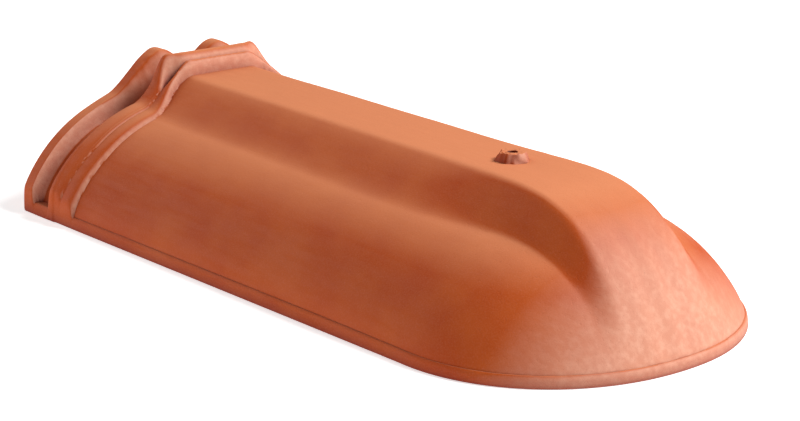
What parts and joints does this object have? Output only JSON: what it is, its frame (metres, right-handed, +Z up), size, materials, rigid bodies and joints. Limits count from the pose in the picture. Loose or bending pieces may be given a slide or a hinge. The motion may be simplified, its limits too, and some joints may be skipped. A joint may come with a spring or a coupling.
{
  "type": "ridge tile",
  "caption": "Hollow terracotta ridge starter tile with a flat crown, a rounded closed nose, a ribbed lap end and a screw boss; covers the end of a roof ridge or hip.",
  "frame": {"origin": "centre of the outline on the ground, under the middle of the tile's length", "axes": "+X along the tile from the ribbed lap end to the rounded nose, +Y across, +Z up from the rim's underside"},
  "size_m": [0.48, 0.2526, 0.0989],
  "materials": {
    "fired_clay": "unglazed matt terracotta"
  },
  "bodies": {
    "root": {"ridge_tile": "fired_clay"}
  },
  "joints": []
}
